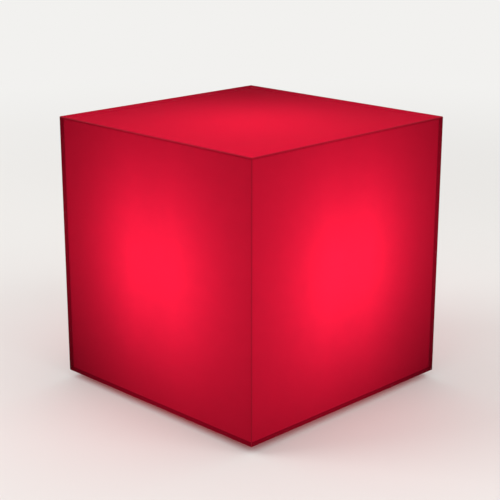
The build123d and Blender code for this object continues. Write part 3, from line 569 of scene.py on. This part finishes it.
@dataclass(frozen=True)
class SolderMask(Finish):
    """Glass-fibre board under a glossy solder mask.

    Copper tracks show through the mask as slightly lighter, raised lanes.
    """

    colour: str = "#0B3A1C"
    track_colour: str = "#14562B"
    track_pitch: float = 2.5 * MM
    track_width: float = 0.2            # in pitches, as is the length
    track_length: float = 3.0
    track_height: float = 0.03 * MM

    def shade(self, tree: bpy.types.NodeTree, shader: bpy.types.Node) -> None:
        """Lanes of track from a brick pattern.

        Args:
            tree: the material's node tree.
            shader: its Principled node.
        """
        place = add_node(tree, "ShaderNodeTexCoord").outputs["Object"]
        tracks = add_node(
            tree, "ShaderNodeTexBrick", {"offset": 0.5},
            {"Vector": place, "Scale": 1.0, "Mortar Size": self.track_width * self.track_pitch,
             "Mortar Smooth": 0.1, "Brick Width": self.track_length * self.track_pitch,
             "Row Height": self.track_pitch,
             "Color1": linear(self.colour), "Color2": linear(self.colour),
             "Mortar": linear(self.track_colour)}).outputs
        bump = add_node(tree, "ShaderNodeBump", inputs={
            "Strength": 0.5, "Distance": self.track_height, "Height": tracks["Fac"],
        }).outputs[0]
        fill(tree, shader, {
            "IOR": 1.5, "Roughness": 0.28, "Base Color": tracks["Color"], "Normal": bump})


@dataclass(frozen=True)
class ClearPolycarbonate(Finish):
    """Clear moulded polycarbonate, which shows what is behind it under a soft gloss."""

    colour: str = "#C9D2D4"
    opacity: float = 0.2
    smoothest: float = 0.05             # the limits of its roughness
    roughest: float = 0.16
    ripple: float = 9 * MM

    def shade(self, tree: bpy.types.NodeTree, shader: bpy.types.Node) -> None:
        """Set a low plain alpha and the faint ripple of a moulding.

        Args:
            tree: the material's node tree.
            shader: its Principled node.
        """
        place = add_node(tree, "ShaderNodeTexCoord").outputs["Object"]
        ripple = add_node(
            tree, "ShaderNodeTexNoise",
            inputs={"Vector": place, "Scale": 1 / self.ripple, "Detail": 1.0}).outputs[0]
        rough = add_node(tree, "ShaderNodeMapRange", inputs={
            "Value": ripple, "To Min": self.smoothest, "To Max": self.roughest}).outputs[0]
        fill(tree, shader, {
            "Base Color": linear(self.colour), "IOR": 1.58, "Alpha": self.opacity,
            "Roughness": rough})


@dataclass(frozen=True)
class ShrinkSleeve(Finish):
    """Printed-film sleeve shrunk over a steel can.

    Glossy, a little wavy, and drawn back at both ends, where the bare metal shows.
    """

    sleeve_colour: str = "#1B4A7A"
    metal_colour: str = "#B4B2AC"
    half_length: float = 31.5 * MM
    wave: float = 6 * MM
    wave_height: float = 0.2 * MM

    def shade(self, tree: bpy.types.NodeTree, shader: bpy.types.Node) -> None:
        """Sleeve between the ends, metal beyond, by the place along the cell.

        Args:
            tree: the material's node tree.
            shader: its Principled node.
        """
        place = add_node(tree, "ShaderNodeTexCoord").outputs["Object"]
        along = add_node(tree, "ShaderNodeSeparateXYZ", inputs={0: place}).outputs[0]
        along = add_node(
            tree, "ShaderNodeMath", {"operation": "ABSOLUTE"}, {0: along}).outputs[0]
        bare = add_node(
            tree, "ShaderNodeMath", {"operation": "GREATER_THAN"},
            {0: along, 1: self.half_length}).outputs[0]
        waves = add_node(
            tree, "ShaderNodeTexNoise",
            inputs={"Vector": place, "Scale": 1 / self.wave, "Detail": 2.0}).outputs[0]
        colour = add_node(tree, "ShaderNodeMix", {"data_type": "RGBA"}, {
            0: bare, 6: linear(self.sleeve_colour), 7: linear(self.metal_colour)}).outputs[2]
        bump = add_node(tree, "ShaderNodeBump", inputs={
            "Strength": 0.3, "Distance": self.wave_height, "Height": waves}).outputs[0]
        fill(tree, shader, {
            "Roughness": 0.24, "Base Color": colour, "Metallic": bare, "Normal": bump})


@dataclass(frozen=True)
class PaleMatt(Finish):
    """Matt card for the floor, faintly uneven, that runs out into the backdrop's white.

    It is open when seen from below, and right under the object it lets the light of the lamp
    beneath it through, so that the object's underside shows.
    """

    colour: str = "#E9E7E4"
    far_colour: str = "#F2F1EF"
    drift_size: float = 330 * MM
    darkest: float = 0.985
    fade_from: float = 800 * MM
    fade_to: float = 2200 * MM
    window: float = CUBE_SIDE / 2       # half of the side of the lamp's square window

    def shade(self, tree: bpy.types.NodeTree, shader: bpy.types.Node) -> None:
        """Two close tints, then the fade to the backdrop, then the openings.

        Args:
            tree: the material's node tree.
            shader: its Principled node.
        """
        base = linear(self.colour)
        place = add_node(tree, "ShaderNodeTexCoord").outputs["Object"]
        drift = add_node(
            tree, "ShaderNodeTexNoise",
            inputs={"Vector": place, "Scale": 1 / self.drift_size, "Detail": 3.0}).outputs[0]
        colour = add_node(tree, "ShaderNodeMix", {"data_type": "RGBA"}, {
            0: drift, 6: base, 7: tuple(c * self.darkest for c in base[:3]) + (1.0,),
        }).outputs[2]
        fill(tree, shader, {"Roughness": 0.9, "Specular IOR Level": 0.1, "Base Color": colour})
        away = add_node(
            tree, "ShaderNodeVectorMath", {"operation": "LENGTH"}, {0: place}).outputs["Value"]
        fade = add_node(tree, "ShaderNodeMapRange", {"interpolation_type": "SMOOTHSTEP"}, {
            "Value": away, "From Min": self.fade_from, "From Max": self.fade_to}).outputs[0]
        fade = add_node(
            tree, "ShaderNodeMath", {"operation": "MULTIPLY"},
            {0: fade, 1: picture_rays(tree)}).outputs[0]
        backdrop = add_node(
            tree, "ShaderNodeEmission", inputs={"Color": linear(self.far_colour)}).outputs[0]
        card = add_node(
            tree, "ShaderNodeMixShader",
            inputs={0: fade, 1: shader.outputs[0], 2: backdrop}).outputs[0]
        opening = add_node(tree, "ShaderNodeBsdfTransparent").outputs[0]
        both = add_node(
            tree, "ShaderNodeMixShader",
            inputs={0: self.open_share(tree, place), 1: card, 2: opening}).outputs[0]
        fill(tree, tree.nodes["Material Output"], {"Surface": both})

    def open_share(
        self, tree: bpy.types.NodeTree, place: bpy.types.NodeSocket,
    ) -> bpy.types.NodeSocket:
        """Add the nodes that tell where the floor is open.

        Args:
            tree: the material's node tree.
            place: the socket that gives the place on the floor, in metres.

        Returns:
            A socket of 1 for every ray from below, and for a lamp's rays in the window.
        """
        under = add_node(tree, "ShaderNodeNewGeometry").outputs["Backfacing"]
        to_lamps = add_node(tree, "ShaderNodeLightPath").outputs["Is Shadow Ray"]
        out = add_node(
            tree, "ShaderNodeVectorMath", {"operation": "ABSOLUTE"}, {0: place}).outputs[0]
        axes = add_node(tree, "ShaderNodeSeparateXYZ", inputs={0: out}).outputs
        out = add_node(
            tree, "ShaderNodeMath", {"operation": "MAXIMUM"}, {0: axes[0], 1: axes[1]}).outputs[0]
        inside = add_node(
            tree, "ShaderNodeMath", {"operation": "LESS_THAN"}, {0: out, 1: self.window}).outputs[0]
        let_by = add_node(
            tree, "ShaderNodeMath", {"operation": "MULTIPLY"},
            {0: to_lamps, 1: inside}).outputs[0]
        return add_node(
            tree, "ShaderNodeMath", {"operation": "MAXIMUM"}, {0: under, 1: let_by}).outputs[0]


# Painted light of each wall: a painted hot spot over a painted fall into shade.
NEAR_SIDE_GLOW = Glow(
    core_level=0.616, core_reach=0.286, core_rise=0.318, core_height=0.021,
    ground=0.400, tilt_across=0.145, tilt_up=0.106, droop_across=-0.313, droop_up=-0.426,
    face_offset=0.5, mirrored=True,
)
# The back and right walls' glow is painted 11 per cent brighter than the front and left.
FAR_SIDE_GLOW = replace(NEAR_SIDE_GLOW, gain=1.11)
TOP_GLOW = Glow(core_level=0.342, core_reach=0.384, core_height=0.5, ground=0.490,
                tilt_across=0.236)
BASE_GLOW = Glow(core_level=0.20, core_reach=0.42, core_height=-0.5, ground=0.26,
                 face_offset=0.2)


# ---- walls -----------------------------------------------------------------------------------


class Wall(Enum):
    """A wall of the cube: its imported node, outward normal and glow."""

    TOP = ("top_panel", (0.0, 0.0, 1.0), TOP_GLOW)
    FRONT = ("front_panel", (0.0, -1.0, 0.0), NEAR_SIDE_GLOW)
    BACK = ("back_panel", (0.0, 1.0, 0.0), FAR_SIDE_GLOW)
    LEFT = ("left_panel", (-1.0, 0.0, 0.0), NEAR_SIDE_GLOW)
    RIGHT = ("right_panel", (1.0, 0.0, 0.0), FAR_SIDE_GLOW)
    BASE = ("base_panel", (0.0, 0.0, -1.0), BASE_GLOW)

    @property
    def label(self) -> str:
        """Its name as pieces and materials have it."""
        return self.name.lower()

    @property
    def node(self) -> str:
        """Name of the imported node."""
        return self.value[0]

    @property
    def normal(self) -> Vector:
        """Outward normal."""
        return Vector(self.value[1])

    @property
    def glow(self) -> Glow:
        """How brightly it shines."""
        return self.value[2]


class Edge(Enum):
    """A kind of cut edge, with the share of its wall's painted glow that it shows as painted light.
    """

    # Painted light and shade: edges that face up are painted lighter than those that face down.
    ARRIS = 0.64
    UPRIGHT = 0.52
    UPPER = 0.74
    LOWER = 0.48
    CROWN = 0.97

    @staticmethod
    def of(wall: Wall, normal: Vector) -> "Edge | None":
        """Tell what a face of a wall's skin is.

        Args:
            wall: which wall.
            normal: the face's normal.

        Returns:
            The kind of edge, or None for the skin's level faces.
        """
        outward = normal.dot(wall.normal)
        if abs(outward) > LEVEL:
            return None
        if outward > OUTWARD:
            return Edge.ARRIS
        if wall is Wall.TOP:
            return Edge.CROWN
        if wall is Wall.BASE or normal.z < -SLANTED:
            return Edge.LOWER
        return Edge.UPPER if normal.z > SLANTED else Edge.UPRIGHT


@dataclass
class AcrylicCube:
    """The six walls, each a clear skin over an opal body."""

    side: float = CUBE_SIDE
    middle_height: float = CUBE_MIDDLE
    skin_depth: float = 3.5 * MM        # how deep the opal body looks through the clear skin
    layer_lap: float = 0.05 * MM        # how far the skin reaches into the body
    cement_fill: float = 0.049 * MM     # half of a bond line, which the cement fills
    merge_distance: float = 0.001 * MM
    cut_tolerance: float = 0.0001 * MM
    body_spared: float = 0.10           # part of the level that the studio's light gives
    edge_spared: float = 0.09
    arris_gloss: float = 0.04           # cemented edges have no gloss of their own

    def layer(
        self, source: bpy.types.Mesh, wall: Wall, top: float, bottom: float,
    ) -> bmesh.types.BMesh:
        """Cut the slice of a wall that lies between two depths.

        Args:
            source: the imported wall's mesh.
            wall: which wall it is.
            top: depth of the slice's outer face, or 0 to keep the wall's own outer face.
            bottom: depth of its inner face, or 0 to keep the wall's own inner face.

        Returns:
            The slice, closed.
        """
        bm = bmesh.new()
        bm.from_mesh(source)
        bmesh.ops.remove_doubles(bm, verts=bm.verts[:], dist=self.merge_distance)
        centre = Vector((0.0, 0.0, self.middle_height))
        for depth, keep_inside in ((top, True), (bottom, False)):
            if depth <= 0.0:
                continue
            plane = centre + wall.normal * (self.side / 2 - depth)
            cut = bmesh.ops.bisect_plane(
                bm, geom=bm.verts[:] + bm.edges[:] + bm.faces[:], dist=self.cut_tolerance,
                plane_co=plane, plane_no=wall.normal,
                clear_outer=keep_inside, clear_inner=not keep_inside)
            rim = [g for g in cut["geom_cut"] if isinstance(g, bmesh.types.BMEdge)]
            facing = wall.normal if keep_inside else -wall.normal
            bmesh.ops.triangle_fill(bm, use_beauty=True, edges=rim, normal=facing)
        bmesh.ops.recalc_face_normals(bm, faces=bm.faces[:])
        self.close_joints(bm, wall)
        for face in bm.faces:
            face.smooth = False
        return bm

    def close_joints(self, bm: bmesh.types.BMesh, wall: Wall) -> None:
        """Let a slice's mitres reach the middle of their bond lines, as cement makes them.

        Args:
            bm: the slice.
            wall: which wall it is of.
        """
        for other in Wall:
            if abs(other.normal.dot(wall.normal)) > SLANTED:
                continue
            mitre = [f for f in bm.faces if f.normal.dot(other.normal) > SLANTED
                     and f.normal.dot(wall.normal) < -SLANTED]
            verts = list({v for f in mitre for v in f.verts})
            # The root turns a depth square to the mitre into one along the other wall's normal.
            bmesh.ops.translate(
                bm, verts=verts, vec=other.normal * self.cement_fill * sqrt(2.0))

    def opal_body(self, wall: Wall, node: bpy.types.Object) -> bpy.types.Object:
        """Build and dress the opal body of a wall.

        Args:
            wall: which wall.
            node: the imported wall.

        Returns:
            The new piece.
        """
        bm = self.layer(node.data, wall, self.skin_depth, 0.0)
        finish = LitOpalAcrylic(
            f"cast_opal_acrylic_{wall.label}", glow=wall.glow, spared=self.body_spared)
        return new_piece(f"{wall.label}_opal_body", bm, "light", "opal_acrylic", finish)

    def clear_skin(self, wall: Wall, node: bpy.types.Object) -> bpy.types.Object:
        """Build and dress the clear skin of a wall, with its mitres and arrises.

        Args:
            wall: which wall.
            node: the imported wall.

        Returns:
            The new piece.
        """
        bm = self.layer(node.data, wall, 0.0, self.skin_depth + self.layer_lap)
        kinds: list[Edge | None] = [None]
        for face in bm.faces:
            kind = Edge.of(wall, face.normal)
            if kind not in kinds:
                kinds.append(kind)
            face.material_index = kinds.index(kind)
        finishes: list[Finish] = [ClearAcrylicSkin("clear_acrylic_satin")]
        for kind in kinds[1:]:
            finishes.append(CutAcrylicEdge(
                f"sawn_acrylic_{wall.label}_{kind.name.lower()}", glow=wall.glow,
                share=kind.value, spared=self.edge_spared,
                gloss=self.arris_gloss if kind is Edge.ARRIS else 0.0))
        return new_piece(f"{wall.label}_clear_skin", bm, "light", "opal_acrylic", *finishes)

    def build(self, nodes: Mapping[str, bpy.types.Object]) -> None:
        """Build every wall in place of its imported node.

        Args:
            nodes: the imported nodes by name.
        """
        for wall in Wall:
            for piece in (self.opal_body(wall, nodes[wall.node]),
                          self.clear_skin(wall, nodes[wall.node])):
                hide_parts(wall.node)
                LOG.info("%s: %d faces", piece.name, len(piece.data.polygons))


def new_piece(
    name: str, bm: bmesh.types.BMesh, body: str, slot: str, *finishes: Finish,
) -> bpy.types.Object:
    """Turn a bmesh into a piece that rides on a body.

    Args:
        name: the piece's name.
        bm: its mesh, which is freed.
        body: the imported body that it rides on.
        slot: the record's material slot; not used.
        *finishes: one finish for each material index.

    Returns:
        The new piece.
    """
    mesh = bpy.data.meshes.new(name)
    bm.to_mesh(mesh)
    bm.free()
    piece = bpy.data.objects.new(name, mesh)
    bpy.context.scene.collection.objects.link(piece)
    for finish in finishes:
        mesh.materials.append(finish.material())
    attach(piece, body)
    return piece


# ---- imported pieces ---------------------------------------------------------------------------


def dress(nodes: Mapping[str, bpy.types.Object], finish: Finish, *names: str) -> None:
    """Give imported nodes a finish.

    Args:
        nodes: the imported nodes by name.
        finish: what they are made of.
        *names: which nodes.
    """
    for name in names:
        for slot in nodes[name].material_slots:
            slot.material = finish.material()
        LOG.info("%s: %s", name, finish.name)


@dataclass
class LightModule:
    """Housing, its fixings and the feet."""

    def dress(self, nodes: Mapping[str, bpy.types.Object]) -> None:
        """Finish what carries and seals the module.

        Args:
            nodes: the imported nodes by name.
        """
        dress(nodes, MouldedPlastic("abs_spark_eroded_grey", colour="#454547",
                                    worn_colour="#59595C", roughness=0.46), "module_housing")
        dress(nodes, MouldedRubber("rubber_moulded_feet", dust_colour="#3A3835"), "rubber_feet")
        dress(nodes, MouldedRubber("rubber_seal_sheet", colour="#161616", pore=0.9 * MM),
              "module_gasket", "cover_seal", "button_seal", "cable_grommet")
        dress(nodes, MouldedPlastic("nylon_natural_moulded", colour="#D9D5CB",
                                    worn_colour="#E4E1D9", roughness=0.45), "backing_ring")
        dress(nodes, WorkedMetal("brass_turned", colour="#C9A55A", dull_colour="#A88442",
                                 working=Working.TURNED), "threaded_inserts")
        dress(nodes, WorkedMetal("stainless_steel_cold_headed", working=Working.TURNED,
                                 roughness=0.28, patch=4 * MM),
              "module_screws", "cover_screws", "light_board_screws", "holder_screws",
              "control_board_screws")


@dataclass
class LightEngine:
    """What makes and spreads the light."""

    def dress(self, nodes: Mapping[str, bpy.types.Object]) -> None:
        """Finish the light engine.

        Args:
            nodes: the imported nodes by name.
        """
        dress(nodes, WorkedMetal("aluminium_rolled_sheet", colour="#C4C6C9",
                                 dull_colour="#AEB0B4", roughness=0.36,
                                 working=Working.ROLLED), "heat_spreader")
        dress(nodes, MouldedRubber("silicone_thermal_sheet", colour="#6E7B8C",
                                   dust_colour="#8793A2", roughness=0.7), "thermal_pad")
        dress(nodes, SolderMask("solder_mask_white", colour="#E2E2DE", track_colour="#CFCFC8",
                                track_pitch=3 * MM), "light_board")
        dress(nodes, MouldedPlastic("phosphor_in_white_case", colour="#EFE9C9",
                                    worn_colour="#E8D26B", roughness=0.35,
                                    wear_size=3 * MM), "led_packages")
        dress(nodes, MouldedPlastic("epoxy_moulded_black", colour="#0C0B0D",
                                    worn_colour="#151318", roughness=0.2), "infrared_receiver")
        dress(nodes, ClearPolycarbonate("polycarbonate_moulded_clear"),
              "light_cover", "status_light_pipe")


@dataclass
class Electrics:
    """Batteries, board, button, socket and leads."""

    def dress(self, nodes: Mapping[str, bpy.types.Object]) -> None:
        """Finish the electrical pieces.

        Args:
            nodes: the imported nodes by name.
        """
        dress(nodes, MouldedPlastic("polypropylene_moulded_black", colour="#101011",
                                    roughness=0.42), "battery_holder")
        dress(nodes, ShrinkSleeve("shrink_film_on_steel_can"), "battery_cells")
        dress(nodes, WorkedMetal("nickel_plated_steel", colour="#C2BEB4", dull_colour="#A7A399",
                                 roughness=0.2), "battery_contacts", "jack_nut")
        dress(nodes, SolderMask("solder_mask_green"), "control_board")
        dress(nodes, MouldedPlastic("component_cases", colour="#18181A", worn_colour="#2A2A2D",
                                    roughness=0.4, wear_size=5 * MM), "board_components")
        dress(nodes, MouldedPlastic("abs_button_satin", colour="#2A2A2C", worn_colour="#343437",
                                    roughness=0.36, grain=0.6 * MM, wear_size=9 * MM),
              "power_button")
        dress(nodes, MouldedPlastic("acetal_moulded_black", colour="#0F0F10", roughness=0.4),
              "switch_plunger", "switch_body", "charging_jack")
        dress(nodes, MouldedRubber("silicone_moulded_cap", colour="#19191B",
                                   dust_colour="#2E2D2C", roughness=0.62, pore=0.5 * MM),
              "jack_cap", "cap_anchor")
        dress(nodes, MouldedPlastic("pvc_sleeve_extruded", colour="#8C1A14",
                                    worn_colour="#A0241C", roughness=0.4),
              "jack_leads", "battery_leads", "light_leads")


# ---- studio ----------------------------------------------------------------------------------


@dataclass(frozen=True)
class SoftLamp:
    """A square lamp."""

    name: str
    place: Point
    side: float
    watts: float

    def build(self, target: Point) -> None:
        """Put the lamp in its place.

        Args:
            target: the point that it looks at.
        """
        data = bpy.data.lights.new(self.name, "AREA")
        data.shape = "SQUARE"
        data.size = self.side
        data.energy = self.watts
        lamp = bpy.data.objects.new(self.name, data)
        lamp.location = self.place
        aim = Vector(target) - Vector(self.place)
        lamp.rotation_euler = aim.to_track_quat("-Z", "Y").to_euler()
        bpy.context.scene.collection.objects.link(lamp)


@dataclass
class Studio:
    """Camera, floor, sky and soft light."""

    camera_place: Point = (0.99924, -1.0035, 0.57437)
    camera_turn: Point = (73.47, -0.041, 44.946)      # in degrees
    lens: float = 93.53                 # in millimetres, as is the sensor
    sensor: float = 36.0
    floor_size: float = 12.0
    floor_gap: float = 0.05 * MM        # keeps the floor's face apart from the feet's
    sky_level: float = 0.84
    sky_colour: str = "#FFFFFF"
    backdrop: str = "#F2F1EF"
    target: Point = (0.0, 0.0, 150 * MM)
    lamps: tuple[SoftLamp, ...] = (
        SoftLamp("soft_left", (-1.6, -1.9, 1.9), side=1.6, watts=26.0),
        SoftLamp("soft_right", (2.2, 0.4, 1.7), side=1.6, watts=16.0),
        SoftLamp("soft_beneath", (0.0, 0.0, -0.45), side=0.2, watts=1.4),
    )

    def camera(self) -> None:
        """Stand the camera where the photograph was taken."""
        data = bpy.data.cameras.new("camera")
        data.lens = self.lens
        data.sensor_width = self.sensor
        camera = bpy.data.objects.new("camera", data)
        camera.location = self.camera_place
        camera.rotation_euler = [radians(a) for a in self.camera_turn]
        bpy.context.scene.collection.objects.link(camera)
        bpy.context.scene.camera = camera

    def floor(self) -> None:
        """Lay a pale floor, which fades into the backdrop long before its own edge."""
        bm = bmesh.new()
        bmesh.ops.create_grid(bm, x_segments=1, y_segments=1, size=self.floor_size / 2)
        bmesh.ops.translate(bm, verts=bm.verts[:], vec=(0.0, 0.0, -self.floor_gap))
        mesh = bpy.data.meshes.new("floor")
        bm.to_mesh(mesh)
        bm.free()
        mesh.materials.append(
            PaleMatt("matt_card_pale", far_colour=self.backdrop).material())
        floor = bpy.data.objects.new("floor", mesh)
        bpy.context.scene.collection.objects.link(floor)

    def sky(self) -> None:
        """Make an even pale sky, shown nearly white behind the object."""
        world = bpy.data.worlds.new("studio")
        bpy.context.scene.world = world
        world.use_nodes = True
        tree = world.node_tree
        tree.nodes.clear()
        light = add_node(tree, "ShaderNodeBackground", inputs={
            "Color": linear(self.sky_colour), "Strength": self.sky_level}).outputs[0]
        shown = add_node(tree, "ShaderNodeBackground", inputs={
            "Color": linear(self.backdrop), "Strength": 1.0}).outputs[0]
        mixed = add_node(
            tree, "ShaderNodeMixShader",
            inputs={0: picture_rays(tree), 1: light, 2: shown}).outputs[0]
        add_node(tree, "ShaderNodeOutputWorld", inputs={"Surface": mixed})

    def build(self) -> None:
        """Set up everything round the object."""
        self.camera()
        self.floor()
        self.sky()
        for lamp in self.lamps:
            lamp.build(self.target)
        bpy.context.scene.view_settings.view_transform = "Standard"


def main() -> None:
    """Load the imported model, then build and dress every sub-assembly and the studio."""
    logging.basicConfig(level=logging.INFO, format="%(name)s: %(message)s")
    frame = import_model()
    nodes = frame["nodes"]
    AcrylicCube().build(nodes)
    for assembly in (LightModule(), LightEngine(), Electrics()):
        assembly.dress(nodes)
    Studio().build()


if __name__ == "__main__":
    main()
